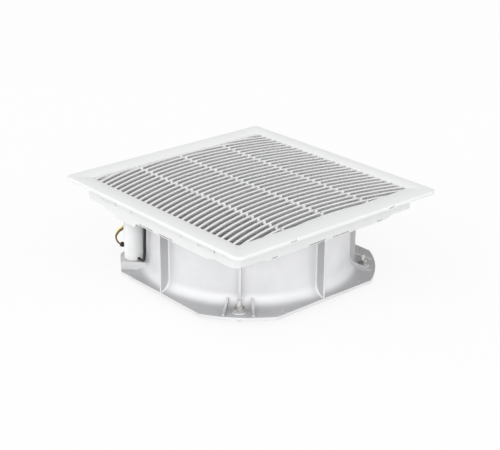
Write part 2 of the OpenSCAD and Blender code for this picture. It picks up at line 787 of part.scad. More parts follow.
// Terminal block under the frame's floor, in the corner outside the flange's arc
block_gap = 1.5;
block_u = flange_r + block_gap;
block_l = 12;
block_w = 26;
block_h = 8;
well_d = 3.4;
pole_pitch = 8;
well_deep = 5;
terminal_d = 3;
module at_block() rotate(135) translate([block_u, 0, floor_z - block_h]) children();
module terminal_block() color("white") raised() at_block() difference() {
    translate([0, -block_w / 2, 0]) cube([block_l, block_w, block_h]);
    for (k = [-1, 0, 1]) translate([0, k * pole_pitch, 0]) {
        translate([block_l / 2, 0, -over]) cylinder(d = well_d, h = well_deep + over);
        translate([-over, 0, block_h / 2]) rotate([0, 90, 0])
            cylinder(d = terminal_d + 2 * fit, h = terminal_d + over);
    }
}
module terminal_screws() color("gold") raised() at_block() for (k = [-1, 0, 1])
    translate([0, k * pole_pitch, block_h / 2]) rotate([0, 90, 0]) cylinder(d = terminal_d, h = terminal_d);

// Cords: a tube swept along points, with a ring of corners square to the path.
// The routes are drawn for a housing of height route_h and stretch with it.
route_h = 84;
route_low = 32;
core_d = 2;
lead_d = 3.4;
cord_sides = 8;
cord_steps = 4;
motor_cable_path = [[-22.7, 22.7, 11.7], [-30, 30, 11.6], [-54, 52.1, 10.8], [-77.4, 70.9, 10.6],
    [-94.2, 83.6, 10.6], [-99.5, 88.3, 10.6], [-102.5, 90.8, 11.4], [-106, 93, 16], [-110.5, 95.2, 22.5],
    [-117, 97.2, 26.5], [-121.5, 98, 28], [-123.6, 98.6, 29.2]];
wire_brown_path = [[-124, 97.6, 29.3], [-126.1, 98.2, 30.6], [-128, 100.6, 34], [-128, 102, 39.5],
    [-125, 99.8, 45.5], [-120.5, 96.8, 50], [-116.5, 98.5, 58], [-117.5, 105, 67], [-123.4, 112.1, 73.5],
    [-123.4, 112.1, 79.5]];
wire_earth_path = [[-123.4, 99.7, 29.3], [-125.5, 100.3, 30.6], [-127, 103, 34.5], [-126.4, 104.5, 40],
    [-123, 102.6, 46.5], [-118.5, 99.5, 51.5], [-114.5, 101.5, 59], [-114, 109, 67], [-117.7, 117.7, 73.5],
    [-117.7, 117.7, 79.5]];
capacitor_lead_path = [[-118.8, 68.5, 18.5], [-119.4, 62.5, 18.3], [-120.4, 55.6, 21], [-121.2, 52.7, 30],
    [-122, 50.7, 45], [-122.9, 48.5, 66], [-124.5, 50, 73], [-129, 64, 78], [-131.5, 86, 79.8],
    [-130.3, 105.1, 80], [-127, 108.4, 80]];

function stretched(p) = [for (q = p)
    [q.x, q.y, q.z + (fan_h - route_h) * max(0, q.z - route_low) / (route_h - route_low)]];
// Smooth path through the points
function at(p, k) = p[min(max(k, 0), len(p) - 1)];
function bend(p, k, t) = 0.5 * (2 * at(p, k) + (at(p, k + 1) - at(p, k - 1)) * t
    + (2 * at(p, k - 1) - 5 * at(p, k) + 4 * at(p, k + 1) - at(p, k + 2)) * t * t
    + (3 * at(p, k) - at(p, k - 1) - 3 * at(p, k + 1) + at(p, k + 2)) * t * t * t);
function smooth(p) = concat(
    [for (k = [0:len(p) - 2], j = [0:cord_steps - 1]) bend(p, k, j / cord_steps)], [p[len(p) - 1]]);
function unit(v) = v / norm(v);
function heading(q, i) = unit(at(q, i + 1) - at(q, i - 1));
// Side direction carried along the path from ring to ring
function sides(q, i, u) = let (h = heading(q, i), v = unit(u - h * (u * h)))
    i == len(q) - 1 ? [v] : concat([v], sides(q, i + 1, v));
module cord(path, d) {
    q = smooth(stretched(path));
    u = sides(q, 0, [0, 0, 1]);
    n = cord_sides;
    points = [for (i = [0:len(q) - 1], j = [0:n - 1]) let (w = cross(heading(q, i), u[i]))
        q[i] + d / 2 * (cos(j * 360 / n) * u[i] + sin(j * 360 / n) * w)];
    polyhedron(points, concat(
        [for (i = [0:len(q) - 2], j = [0:n - 1]) each [
            [i * n + (j + 1) % n, i * n + j, (i + 1) * n + j],
            [i * n + (j + 1) % n, (i + 1) * n + j, (i + 1) * n + (j + 1) % n]]],
        [[for (j = [0:n - 1]) j]],
        [[for (j = [n - 1:-1:0]) (len(q) - 1) * n + j]]));
}
module motor_cable() color("black") raised() cord(motor_cable_path, cable_d);
module wire_brown() color("sienna") raised() cord(wire_brown_path, core_d);
module wire_earth() color("yellowgreen") raised() cord(wire_earth_path, core_d);
module capacitor_lead() color("black") raised() cord(capacitor_lead_path, lead_d);

// Rubber bush in the duct's wall round the motor cable
bush_l = 9;
module cable_grommet() color("black") raised() cable_exit() difference() {
    cylinder(d = cable_hole_d, h = bush_l, center = true);
    cylinder(d = cable_d + 2 * play, h = bush_l + 2 * over, center = true);
}

cover_grille();
cover_hinge_pins();
cover_latch(-1);  // cover_latch_left
cover_latch(1);  // cover_latch_right
base_frame();
panel_clip(-1, -1);  // panel_clip_left_front
panel_clip(-1, 1);  // panel_clip_left_rear
panel_clip(1, -1);  // panel_clip_right_front
panel_clip(1, 1);  // panel_clip_right_rear
panel_gasket();
filter_mat();
frame_screws();
frame_nuts();
fan_housing();
stator_base();
stator_core();
stator_windings();
bearing_lower();
bearing_upper();
rotor_shaft();
shaft_ring();
rotor_can();
rotor_cage();
impeller();
motor_screws();
finger_guard();
guard_bolts();
guard_washers();
guard_nuts();
capacitor_body();
capacitor_cap();
capacitor_foot();
capacitor_bolt();
capacitor_nut();
terminal_block();
terminal_screws();
motor_cable();
cable_grommet();
wire_brown();
wire_earth();
capacitor_lead();
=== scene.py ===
# A filter fan: a compact axial fan under a white plastic frame with a filter mat and a hinged
# grille of curved slats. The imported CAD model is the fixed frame; this file gives it its looks.
import bmesh
import bpy
import numpy as np
from mathutils import Matrix, Vector


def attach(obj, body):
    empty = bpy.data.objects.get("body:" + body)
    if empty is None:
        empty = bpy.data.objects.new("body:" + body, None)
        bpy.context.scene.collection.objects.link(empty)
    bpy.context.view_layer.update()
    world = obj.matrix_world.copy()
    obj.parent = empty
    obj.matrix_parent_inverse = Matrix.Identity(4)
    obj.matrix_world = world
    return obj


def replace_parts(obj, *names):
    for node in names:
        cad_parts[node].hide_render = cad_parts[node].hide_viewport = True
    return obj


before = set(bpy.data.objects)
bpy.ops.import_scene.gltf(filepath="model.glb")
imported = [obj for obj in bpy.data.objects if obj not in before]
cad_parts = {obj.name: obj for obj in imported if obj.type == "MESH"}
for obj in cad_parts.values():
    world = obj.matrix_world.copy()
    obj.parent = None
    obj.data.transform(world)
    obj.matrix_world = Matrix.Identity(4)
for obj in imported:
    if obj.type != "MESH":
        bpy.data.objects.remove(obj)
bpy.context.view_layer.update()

# Camera. It stands at the corner between -X and -Y, 22 degrees above the grille, about 1.5 m away.
# Its place, turn and lens were solved from straight edges in the photograph, 500 by 450 pixels.
picture_width = 500
focal_px = 1230.971
sensor_mm = 36
clip_near, clip_far = 0.05, 50
azimuth, elevation, roll = np.radians([-41.076, 22.453, 0.322])
seen_from = np.array([-0.001897, -0.051692, 1.505586])   # target in the camera's frame, y down
target = np.array([0, 0, 0.115])
to_camera = np.array([np.sin(azimuth) * np.cos(elevation), -np.cos(azimuth) * np.cos(elevation),
                      np.sin(elevation)])
level_right = np.cross(-to_camera, [0, 0, 1])
level_right /= np.linalg.norm(level_right)
level_up = np.cross(level_right, -to_camera)
camera_right = np.cos(roll) * level_right + np.sin(roll) * level_up
camera_up = np.cos(roll) * level_up - np.sin(roll) * level_right
camera_place = target - seen_from @ np.array([camera_right, -camera_up, -to_camera])

camera_data = bpy.data.cameras.new("camera")
camera_data.lens = focal_px * sensor_mm / picture_width
camera_data.sensor_width = sensor_mm
camera_data.clip_start, camera_data.clip_end = clip_near, clip_far
camera = bpy.data.objects.new("camera", camera_data)
bpy.context.scene.collection.objects.link(camera)
turn = np.eye(4)
turn[:3] = np.column_stack([camera_right, camera_up, to_camera, camera_place])
camera.matrix_world = Matrix(turn)
bpy.context.scene.camera = camera

# Studio. A broad pale room that is brightest low down on the left of the camera and dim overhead,
# one large soft lamp overhead, and a white floor that keeps a soft shadow.
room_low, room_high = 0.42, 2.05       # strength behind the object, and in front of it
room_top = 0.45                        # share of the strength that is left overhead
room_front = Vector((-0.8, -0.6, 0.25))
room_tint = (0.985, 0.99, 1.0, 1)
fall_from, fall_to = 0.35, 0.95        # rise of the line of sight over which the room dims
lamp_size = 1.6
lamp_watts = 5.5
lamp_place = Vector((-0.5, -0.1, 2.3))
floor_half = 30
floor_white, floor_dim = 0.9, 0.7      # as it is seen, and as it lights the object
floor_plain = 0.86                     # share of the seen floor that takes no shadow


def add_node(tree, kind, inputs=None, **settings):
    """A node of the tree with its settings, and its inputs set by value or linked from sockets."""
    node = tree.nodes.new(kind)
    for name, value in settings.items():
        setattr(node, name, value)
    for name, value in (inputs or {}).items():
        socket = node.inputs[name]
        if isinstance(value, bpy.types.NodeSocket):
            tree.links.new(value, socket)
        else:
            socket.default_value = value
    return node


def remap(tree, value, low, high, to_low=0.0, to_high=1.0, **settings):
    """The value, held between low and high and carried over to between to_low and to_high."""
    return add_node(tree, "ShaderNodeMapRange", {
        "Value": value, "From Min": low, "From Max": high, "To Min": to_low, "To Max": to_high,
    }, **settings).outputs["Result"]


def maths(tree, operation, *values):
    """The result of one step of arithmetic on the values."""
    return add_node(tree, "ShaderNodeMath", dict(enumerate(values)), operation=operation).outputs[0]


world = bpy.data.worlds.new("room")
bpy.context.scene.world = world
world.use_nodes = True
room = world.node_tree
room.nodes.clear()
sight = add_node(room, "ShaderNodeTexCoord").outputs["Generated"]
facing = add_node(room, "ShaderNodeVectorMath", {0: sight, 1: room_front.normalized()},
                  operation="DOT_PRODUCT").outputs["Value"]
level = remap(room, facing, -1.0, 1.0, room_low, room_high, interpolation_type="SMOOTHSTEP")
height = add_node(room, "ShaderNodeSeparateXYZ", {"Vector": sight}).outputs["Z"]
fall = remap(room, height, fall_from, fall_to, 1.0, room_top, interpolation_type="SMOOTHSTEP")
strength = maths(room, "MULTIPLY", level, fall)
glow = add_node(room, "ShaderNodeBackground", {"Color": room_tint, "Strength": strength})
add_node(room, "ShaderNodeOutputWorld", {"Surface": glow.outputs[0]})

lamp_data = bpy.data.lights.new("soft_lamp", "AREA")
lamp_data.shape, lamp_data.size, lamp_data.energy = "DISK", lamp_size, lamp_watts
lamp = bpy.data.objects.new("soft_lamp", lamp_data)
bpy.context.scene.collection.objects.link(lamp)
lamp.location = lamp_place
lamp.rotation_mode = "QUATERNION"
lamp.rotation_quaternion = (Vector(target) - lamp_place).to_track_quat("-Z", "Y")

floor_mesh = bpy.data.meshes.new("floor")
floor_mesh.from_pydata([(-floor_half, -floor_half, 0), (floor_half, -floor_half, 0),
                        (floor_half, floor_half, 0), (-floor_half, floor_half, 0)], [], [(0, 1, 2, 3)])
floor = bpy.data.objects.new("floor", floor_mesh)
bpy.context.scene.collection.objects.link(floor)
paper = bpy.data.materials.new("white_paper")
paper.use_nodes = True
tree = paper.node_tree
tree.nodes.clear()
plain = add_node(tree, "ShaderNodeEmission", {"Color": (1, 1, 1, 1), "Strength": 1.0})
path = add_node(tree, "ShaderNodeLightPath").outputs
seen = maths(tree, "MAXIMUM", path["Is Camera Ray"], path["Is Glossy Ray"])
seen = maths(tree, "MAXIMUM", seen, path["Is Transmission Ray"])
shade = add_node(tree, "ShaderNodeMix", {"Factor": seen, "A": (floor_dim, floor_dim, floor_dim, 1),
                                         "B": (floor_white, floor_white, floor_white, 1)}, data_type="RGBA")
matt = add_node(tree, "ShaderNodeBsdfDiffuse", {"Color": shade.outputs["Result"]})
share = maths(tree, "MULTIPLY", seen, floor_plain)
both = add_node(tree, "ShaderNodeMixShader", {0: share, 1: matt.outputs[0], 2: plain.outputs[0]})
add_node(tree, "ShaderNodeOutputMaterial", {"Surface": both.outputs[0]})
floor_mesh.materials.append(paper)
bpy.context.scene.view_settings.view_transform = "Standard"

# Cords. A black sleeved cable leaves the duct through its bush, its brown and green-yellow cores
# curve up to the terminal block, and the capacitor's black lead runs up the duct beside it.
# The routes repeat the source's points; heights are from the flange, which stands lift above ground.
mm = 0.001
lift = 6.5
steps_a_span = 10
cable_route = [[-22.7, 22.7, 11.7], [-30, 30, 11.6], [-54, 52.1, 10.8], [-77.4, 70.9, 10.6],
               [-94.2, 83.6, 10.6], [-99.5, 88.3, 10.6], [-102.5, 90.8, 11.4], [-106, 93, 16],
               [-110.5, 95.2, 22.5], [-117, 97.2, 26.5], [-121.5, 98, 28], [-123.6, 98.6, 29.2]]
brown_route = [[-124, 97.6, 29.3], [-126.1, 98.2, 30.6], [-128, 100.6, 34], [-128, 102, 39.5],
               [-125, 99.8, 45.5], [-120.5, 96.8, 50], [-116.5, 98.5, 58], [-117.5, 105, 67],
               [-123.4, 112.1, 73.5], [-123.4, 112.1, 79.5]]
earth_route = [[-123.4, 99.7, 29.3], [-125.5, 100.3, 30.6], [-127, 103, 34.5], [-126.4, 104.5, 40],
               [-123, 102.6, 46.5], [-118.5, 99.5, 51.5], [-114.5, 101.5, 59], [-114, 109, 67],
               [-117.7, 117.7, 73.5], [-117.7, 117.7, 79.5]]
lead_route = [[-118.8, 68.5, 18.5], [-119.4, 62.5, 18.3], [-120.4, 55.6, 21], [-121.2, 52.7, 30],
              [-122, 50.7, 45], [-122.9, 48.5, 66], [-124.5, 50, 73], [-129, 64, 78],
              [-131.5, 86, 79.8], [-130.3, 105.1, 80], [-127, 108.4, 80]]


def smooth_route(points):
    """Catmull-Rom curve through the points: each span is the cubic whose slopes at its ends are
    half the difference between the points on either side."""
    p = np.array(points, float) + [0, 0, lift]
    k = np.arange(len(p) - 1)[:, None]
    before, after = p[np.maximum(k - 1, 0)], p[np.minimum(k + 2, len(p) - 1)]
    start, end = p[k], p[k + 1]
    t = (np.arange(steps_a_span) / steps_a_span)[None, :, None]
    spans = 0.5 * (2 * start + (end - before) * t + (2 * before - 5 * start + 4 * end - after) * t ** 2
                   + (3 * start - before - 3 * end + after) * t ** 3)
    return np.vstack([spans.reshape(-1, 3), p[-1]]) * mm


def mesh_of(name, vertices, faces):
    """A mesh whose faces point outwards."""
    mesh = bpy.data.meshes.new(name)
    mesh.from_pydata(np.asarray(vertices, float).tolist(), [], [list(map(int, f)) for f in faces])
    surface = bmesh.new()
    surface.from_mesh(mesh)
    bmesh.ops.recalc_face_normals(surface, faces=surface.faces)
    surface.to_mesh(mesh)
    surface.free()
    mesh.update()
    return mesh


def new_piece(name, vertices, faces, body, material, sharp_degrees=40):
    """A mesh object in the row frame, smooth but for edges sharper than the angle, on its body."""
    mesh = mesh_of(name, vertices, faces)
    mesh.polygons.foreach_set("use_smooth", [True] * len(mesh.polygons))
    mesh.set_sharp_from_angle(angle=np.radians(sharp_degrees))
    mesh.materials.append(material)
    piece = bpy.data.objects.new(name, mesh)
    bpy.context.scene.collection.objects.link(piece)
    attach(piece, body)
    return piece


def grid_faces(rows, columns, close_rows=False, close_columns=True):
    """Quads of a grid of rows by columns of points, numbered row by row."""
    i = np.arange(rows if close_rows else rows - 1)[:, None]
    j = np.arange(columns if close_columns else columns - 1)[None, :]
    i2, j2 = (i + 1) % rows, (j + 1) % columns
    quads = np.stack([i * columns + j, i * columns + j2, i2 * columns + j2, i2 * columns + j], -1)
    return quads.reshape(-1, 4)


def tube_along(path, radius, sides):
    """Points on circles of that radius, one for all or one for each, square to the path. The side
    direction is carried from circle to circle by taking away its part along the path."""
    path = np.asarray(path, float)
    along = np.gradient(path, axis=0)
    along /= np.linalg.norm(along, axis=1)[:, None]
    side = np.empty_like(path)
    v = np.cross(along[0], [0.1, 0.3, 0.9])     # a first side, square to the path's start
    for i, h in enumerate(along):
        v = v - h * (v @ h)
        v /= np.linalg.norm(v)
        side[i] = v
    turn = np.linspace(0, 2 * np.pi, sides, endpoint=False)[None, :, None]
    radius = np.reshape(radius, (-1, 1, 1))
    other = np.cross(along, side)
    points = path[:, None] + radius * (np.cos(turn) * side[:, None] + np.sin(turn) * other[:, None])
    faces = grid_faces(len(path), sides)[:, ::-1].tolist()
    n = len(path) * sides
    faces += [list(range(sides)), list(range(n - sides, n))[::-1]]
    return points.reshape(-1, 3), faces


noise_low, noise_high = 0.3, 0.7       # where most of a noise texture's values lie


def finish_of(name, colour, roughness, metallic=0.0, grain=1500.0, grain_depth=0.00004, blotch=35.0,
              blotch_share=0.05, shine=0.12, stretch=(1, 1, 1), specular=0.5, edge_r=0.0003, **sockets):
    """A material whose colour drifts slowly with blotch, whose roughness varies by shine, whose
    surface has a fine grain of grain_depth metres and whose edges shade as rounded by edge_r.
    Patterns read Object coordinates."""
    material = bpy.data.materials.new(name)
    material.use_nodes = True
    tree = material.node_tree
    shader = tree.nodes["Principled BSDF"]
    place = add_node(tree, "ShaderNodeTexCoord").outputs["Object"]
    place = add_node(tree, "ShaderNodeMapping", {"Vector": place, "Scale": stretch}).outputs[0]
    slow = add_node(tree, "ShaderNodeTexNoise", {"Vector": place, "Scale": blotch, "Detail": 4.0})
    fine = add_node(tree, "ShaderNodeTexNoise", {"Vector": place, "Scale": grain, "Detail": 3.0})
    tint = remap(tree, slow.outputs["Fac"], noise_low, noise_high, 1 - blotch_share, 1 + blotch_share / 2)
    hue = add_node(tree, "ShaderNodeVectorMath", {0: colour, "Scale": tint}, operation="SCALE")
    gloss = remap(tree, fine.outputs["Fac"], noise_low, noise_high, roughness - shine / 2,
                  roughness + shine / 2)
    soft = add_node(tree, "ShaderNodeBevel", {"Radius": edge_r}, samples=4)
    bump = add_node(tree, "ShaderNodeBump", {"Height": fine.outputs["Fac"], "Distance": grain_depth,
                                             "Strength": 1.0, "Normal": soft.outputs[0]})
    tree.links.new(hue.outputs[0], shader.inputs["Base Color"])
    tree.links.new(gloss, shader.inputs["Roughness"])
    tree.links.new(bump.outputs[0], shader.inputs["Normal"])
    shader.inputs["Metallic"].default_value = metallic
    shader.inputs["Specular IOR Level"].default_value = specular
    for socket, value in sockets.items():
        shader.inputs[socket.replace("_", " ").title()].default_value = value
    return material


def colour_of(material):
    """The material's node tree, its colour's socket and what is linked to that socket."""
    socket = material.node_tree.nodes["Principled BSDF"].inputs["Base Color"]
    return material.node_tree, socket, socket.links[0].from_socket


black_rubber = finish_of("black_rubber", (0.012, 0.012, 0.013), 0.55, grain=900, grain_depth=0.00006)
brown_insulation = finish_of("brown_insulation", (0.16, 0.065, 0.03), 0.35, grain=2500)
earth_insulation = finish_of("earth_insulation", (0.75, 0.62, 0.02), 0.35, grain=2500)
earth_green = (0.05, 0.22, 0.04, 1)
cable_d, core_d, lead_d = 0.0046, 0.002, 0.0034
cord_sides = 14
stripe_turns = 1.5
stripe_soft = 0.1                      # half the stripe's blurred edge, as a cosine

# The earth core is yellow with a green stripe over half its girth, which winds slowly round it.
tree, base_colour, yellow = colour_of(earth_insulation)
stripe = add_node(tree, "ShaderNodeAttribute", attribute_name="stripe").outputs["Fac"]
stripe = remap(tree, stripe, -stripe_soft, stripe_soft)
striped = add_node(tree, "ShaderNodeMix", {"Factor": stripe, "A": yellow, "B": earth_green},
                   data_type="RGBA")
tree.links.new(striped.outputs["Result"], base_colour)


def new_cord(name, route, diameter, material):
    """A cord of round section on its route, held at both ends by the object. The stripe attribute
    is the cosine of the angle round the cord less the turns made since its start."""
    path = smooth_route(route)
    points, faces = tube_along(path, diameter / 2, cord_sides)
    piece = new_piece(name + "_run", points, faces, "base", material, 60)
    turn = np.arange(cord_sides)[None, :] / cord_sides - np.linspace(0, stripe_turns, len(path))[:, None]
    stripe = piece.data.attributes.new("stripe", "FLOAT", "POINT")
    stripe.data.foreach_set("value", np.cos(2 * np.pi * turn).ravel())
    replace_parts(piece, name)


# A shrunk sleeve closes the cable's end, where its two cores come out. It covers the last points
# of the cable's route, and its own ends are drawn in.
sleeve_points, sleeve_sides, sleeve_r = 15, 20, 0.0031
path = smooth_route(cable_route)[-sleeve_points:]
radii = np.full(sleeve_points, sleeve_r)
radii[:2] = cable_d / 2, sleeve_r - 0.0004
radii[-2:] = sleeve_r - 0.0002, sleeve_r - 0.0009
points, faces = tube_along(path, radii, sleeve_sides)
sleeve = new_piece("cable_sleeve", points, faces, "base", black_rubber, 50)
new_cord("motor_cable", cable_route, cable_d, black_rubber)
new_cord("wire_brown", brown_route, core_d, brown_insulation)
new_cord("wire_earth", earth_route, core_d, earth_insulation)
new_cord("capacitor_lead", lead_route, lead_d, black_rubber)


def give(material, *nodes):
    """Puts the material on CAD nodes, which stay as they are."""
    for node in nodes:
        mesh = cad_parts[node].data
        mesh.materials.clear()
        mesh.materials.append(material)


# Fan housing. One pressure die casting: a duct that flares into a flange with cut corners, webs,
# gussets, a spider for the motor and a pad for the capacitor. Bare, bead-blasted aluminium. The
# flange's upper face and the sides of webs and gussets are darkened in the colour: painted shade.
cast_aluminium = finish_of("cast_aluminium", (0.78, 0.78, 0.785), 0.5, metallic=0.35, grain=1300,
                           grain_depth=0.00008, blotch=22, blotch_share=0.07, shine=0.2)
painted_shade_top, painted_shade_fade = 0.0125, 0.006    # the painted shade's height on the flange, and its fading above
painted_shade_share = 0.66                      # share of the colour that the painted shade leaves
flat_from, flat_to = 0.7, 0.95         # upward share of a normal over which a face counts as flat
side_from, side_to = 0.15, 0.3         # outward and upward share over which it stops being a side
tree, base_colour, blasted = colour_of(cast_aluminium)
where = add_node(tree, "ShaderNodeTexCoord").outputs
outward = add_node(tree, "ShaderNodeVectorMath", {0: where["Object"], 1: (1, 1, 0)}, operation="MULTIPLY")
outward = add_node(tree, "ShaderNodeVectorMath", {0: outward.outputs[0]}, operation="NORMALIZE")
outward = add_node(tree, "ShaderNodeVectorMath", {0: outward.outputs[0], 1: where["Normal"]},
                   operation="DOT_PRODUCT").outputs["Value"]
height = add_node(tree, "ShaderNodeSeparateXYZ", {"Vector": where["Object"]}).outputs["Z"]
upward = add_node(tree, "ShaderNodeSeparateXYZ", {"Vector": where["Normal"]}).outputs["Z"]
low = remap(tree, height, painted_shade_top, painted_shade_top + painted_shade_fade, 1.0, 0.0)
flat = remap(tree, upward, flat_from, flat_to)
turned_out = maths(tree, "ADD", maths(tree, "ABSOLUTE", outward), maths(tree, "ABSOLUTE", upward))
side = remap(tree, turned_out, side_from, side_to, 1.0, 0.0)
# Painted shade: the colour is darkened on low up-facing faces of the flange and on faces turned sideways.
painted_shade = maths(tree, "MAXIMUM", maths(tree, "MULTIPLY", low, flat), side)
painted_shade = remap(tree, painted_shade, 0.0, 1.0, 1.0, painted_shade_share)
painted_shade_colour = add_node(tree, "ShaderNodeVectorMath", {0: blasted, "Scale": painted_shade}, operation="SCALE")
tree.links.new(painted_shade_colour.outputs[0], base_colour)
give(cast_aluminium, "fan_housing", "stator_base", "rotor_cage")

# Motor. An external rotor motor: a black painted can with its cage, shaft and bearings turns round
# a core of stacked sheet steel on the spider. The small steel parts share its zinc plating.
steel = finish_of("steel", (0.62, 0.61, 0.59), 0.3, metallic=1.0, grain=2200, grain_depth=0.00002,
                  blotch=120, blotch_share=0.12)
laminations = finish_of("laminations", (0.23, 0.23, 0.24), 0.45, metallic=0.9, grain=2600,
                        stretch=(0.05, 0.05, 1))
black_paint = finish_of("black_paint", (0.018, 0.018, 0.019), 0.4, grain=1400, grain_depth=0.00007)
give(laminations, "stator_core")
give(black_paint, "rotor_can")
give(steel, "bearing_lower", "bearing_upper", "rotor_shaft", "shaft_ring", "motor_screws")
give(steel, "frame_screws", "frame_nuts", "cover_hinge_pins")

# Capacitor and terminals. A white plastic can that a bolt and a nut hold by a zinc plated foot, the
# brass screws of the terminal strip, and the rubber bush where the cable leaves the duct.
capacitor_plastic = finish_of("capacitor_plastic", (0.9, 0.9, 0.895), 0.4, grain=900, grain_depth=0.00002,
                              subsurface_weight=0.6, subsurface_scale=0.02, subsurface_radius=(1, 1, 1))
brass = finish_of("brass", (0.72, 0.52, 0.22), 0.3, metallic=1.0)
give(capacitor_plastic, "capacitor_body", "capacitor_cap")
give(steel, "capacitor_foot", "capacitor_bolt", "capacitor_nut")
give(brass, "terminal_screws")
give(black_rubber, "cable_grommet")

# Base frame. White glass-filled plastic, moulded in one piece with its collar, skirt, grid, latches
# and panel clips. The terminal strip under its floor is of the same plastic.
white_plastic = finish_of("white_plastic", (0.83, 0.83, 0.828), 0.52, grain=1700, grain_depth=0.00003,
                          blotch=14, blotch_share=0.02, shine=0.1)
give(white_plastic, "base_frame", "terminal_block", "cover_latch_left", "cover_latch_right")
give(white_plastic, "panel_clip_left_front", "panel_clip_left_rear", "panel_clip_right_front",
     "panel_clip_right_rear")

# Cover grille. The white moulded cover: a face with a turned-down rim, a curtain wall round the
# window, curved slats that lean outwards below, three sunk bars with a step up to each slat, hinge
# knuckles and latch catches.
cover_half, cover_r, cover_edge_r = (158.0, 166.0), 8.0, 1.3
cover_top, face_low, rim_low, rim_t, rim_edge = 115.0, 112.7, 110.8, 2.5, 0.3
window_half, window_edge, curtain_t, curtain_r = (135.2, 138.5), 0.5, 1.2, 3.0
slat_count, slat_gap, slat_radius, slat_shift = 30, 10.11, 372.0, 2.6
slat_face, slat_edge_r, slat_foot, foot_edge, slat_lean, slat_deep = 3.5, 0.15, 2.0, 0.4, 7.0, 10.0
slat_sunk, step_sunk, slat_points = 0.02, 0.04, 121      # just below the face, so that no faces meet
bar_w, bar_sunk, bar_edge, bar_step, block_edge = 3.0, 3.0, 0.4, 2.2, 0.2
hinge_x, hinge_y, hinge_z, hinge_w, hinge_play = 100.0, 163.3, 110.1, 28.8, 0.3
knuckle_r, knuckle_w, knuckle_edge, knuckle_sides = 2.2, 16.0, 0.3, 32
latch_x, slot_l, slot_h, hook_w, hook_h = 78.0, 8.0, 1.2, 1.0, 1.9
catch_x, catch_w, catch_out = 70.9, 5.0, 0.6
into_face = 1.0                        # how far knuckles, catches and cutters reach past a face
hair = 1e-6                            # tells ring_of to measure from the outer edge


def round_rectangle(half_x, half_y, r, corner_points=9):
    """Outline of a rectangle with round corners, counterclockwise, the same count for every size."""
    turn = np.linspace(0, np.pi / 2, corner_points)
    out = []
    for k, (sx, sy) in enumerate([(1, 1), (-1, 1), (-1, -1), (1, -1)]):
        a = turn + k * np.pi / 2
        out.append(np.stack([sx * (half_x - r) + r * np.cos(a), sy * (half_y - r) + r * np.sin(a)], -1))
    return np.vstack(out)


def loft(loops, closed=False):
    """Skin over loops of as many points each; the two ends are capped unless the skin closes."""
    n, rows = len(loops[0]), len(loops)
    faces = grid_faces(rows, n, close_rows=closed).tolist()
    if not closed:
        faces += [list(range(n))[::-1], list(range((rows - 1) * n, rows * n))]
    return np.vstack(loops), faces


def joined(shells):
    """Points and faces of several closed shells in one list."""
    points, faces, start = [], [], 0
    for p, f in shells:
        points.append(p)
        faces += [[start + i for i in face] for face in f]
        start += len(p)
    return np.vstack(points), faces


def block(low, high, edge=0.0):
    """Box from corner to corner whose upright edges are rounded by edge."""
    (x0, y0, z0), (x1, y1, z1) = low, high
    outline = round_rectangle((x1 - x0) / 2, (y1 - y0) / 2, max(edge, 0.01), 3)
    outline += [(x0 + x1) / 2, (y0 + y1) / 2]
    return loft([np.column_stack([outline, np.full(len(outline), z)]) for z in (z0, z1)])


def carved(shell, cutters):
    """The shell with the cutters' volumes taken out of it."""
    made = []
    for points, faces in [shell, *cutters]:
        made.append(bpy.data.objects.new("cut", mesh_of("cut", points, faces)))
        bpy.context.scene.collection.objects.link(made[-1])
    for cutter in made[1:]:
        cut = made[0].modifiers.new("cut", "BOOLEAN")
        cut.operation, cut.solver, cut.object = "DIFFERENCE", "EXACT", cutter
    result = made[0].evaluated_get(bpy.context.evaluated_depsgraph_get()).to_mesh()
    points = np.array([v.co for v in result.vertices])
    faces = [list(p.vertices) for p in result.polygons]
    for thing in made:
        mesh = thing.data
        bpy.data.objects.remove(thing)
        bpy.data.meshes.remove(mesh)
    return points, faces


def ring_of(grow, z, r=None):
    """Loop round the cover: grow millimetres outside the window, or inside the outer edge if grow
    is below 0. Its corners follow the offset, unless a radius is given."""
    half, corner = (window_half, curtain_r - curtain_t) if grow >= 0 else (cover_half, cover_r)
    outline = round_rectangle(half[0] + grow, half[1] + grow, max(corner + grow, 0.4) if r is None else r)
    return np.column_stack([outline, np.full(len(outline), z)])


# The face with its rim and curtain wall is one ring, cut for the hinge and for the latches' J slots.
bend = np.radians([15, 30, 45, 60, 75, 90])
loops = [ring_of(0, cover_top - slat_deep), ring_of(0, cover_top - window_edge),
         ring_of(window_edge * 0.3, cover_top - window_edge * 0.3), ring_of(window_edge, cover_top),
         ring_of(-cover_edge_r, cover_top, cover_r)]
loops += [ring_of(-cover_edge_r * (1 - np.sin(b)) - hair, cover_top - cover_edge_r * (1 - np.cos(b)))
          for b in bend]
loops += [ring_of(-hair, rim_low + rim_edge), ring_of(-rim_edge, rim_low), ring_of(-rim_t, rim_low),
          ring_of(-rim_t, face_low), ring_of(curtain_t, face_low), ring_of(curtain_t, cover_top - slat_deep)]
cutters = []
for side in (-1, 1):
    reach = hinge_w / 2 + hinge_play
    cutters.append(block(
        (side * hinge_x - reach, hinge_y - knuckle_r - hinge_play, hinge_z - knuckle_r - into_face),
        (side * hinge_x + reach, cover_half[1] + into_face, face_low)))
    middle = np.array([side * latch_x, -cover_half[1], face_low])
    outline = [(-slot_l / 2, -slot_h / 2), (slot_l / 2, -slot_h / 2), (slot_l / 2, hook_h),
               (slot_l / 2 - hook_w, hook_h), (slot_l / 2 - hook_w, slot_h / 2), (-slot_l / 2, slot_h / 2)]
    cutters.append(loft([np.array([middle + [a, y, b] for a, b in outline])
                         for y in (-into_face, rim_t + into_face / 2)]))
shells = [carved(loft(loops, closed=True), cutters)]

